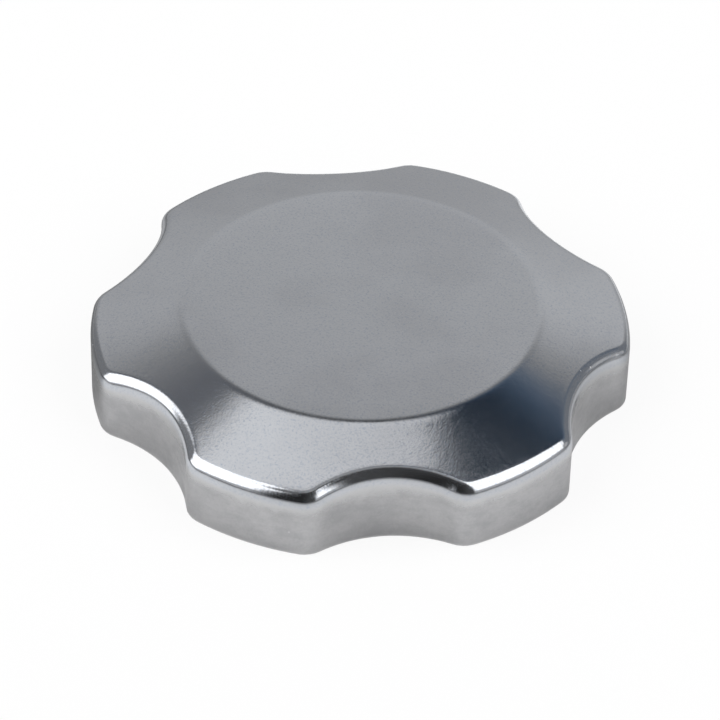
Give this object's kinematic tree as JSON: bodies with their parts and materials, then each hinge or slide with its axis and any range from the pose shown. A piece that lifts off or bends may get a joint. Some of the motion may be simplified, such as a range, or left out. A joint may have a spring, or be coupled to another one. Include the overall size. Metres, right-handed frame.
{
  "type": "fuel tank cap",
  "caption": "Lobed bright plated steel fuel tank cap with a flat crown, a sprung rubber gasket and a bayonet bracket.",
  "frame": {"origin": "centre of the rim's plane, under the crown", "axes": "+Z along the cap's axis from the filler neck towards the crown, +X through the middle of a scallop and along the locking bracket"},
  "size_m": [0.0724, 0.076, 0.0138],
  "materials": {
    "bright_plating": "bright zinc plating with a slightly grainy gloss",
    "zinc_steel": "zinc plated sheet steel",
    "bracket_steel": "yellow passivated spring steel",
    "rivet_steel": "plain zinc plated",
    "spring_steel": "oiled spring steel",
    "gasket_rubber": "moulded nitrile rubber",
    "valve_rubber": "soft moulded rubber",
    "filter_foam": "open cell foam"
  },
  "bodies": {
    "cap": {"outer_shell": "bright_plating", "inner_cup": "zinc_steel", "filter_support": "zinc_steel", "vent_filter": "filter_foam", "retainer_plate": "zinc_steel", "umbrella_valve": "valve_rubber", "locking_bracket": "bracket_steel", "rivet_washer": "rivet_steel", "center_rivet": "rivet_steel", "wave_spring": "spring_steel"},
    "seal": {"pressure_ring": "zinc_steel", "gasket": "gasket_rubber"}
  },
  "joints": [
    {"name": "seal_travel", "type": "slide", "parent": "cap", "child": "seal", "axis": [0, 0, 1], "range_m": [0, 0.0015], "stiffness_N_per_m": 20000, "springref_m": -0.0015, "deforming": ["wave_spring"]}
  ]
}
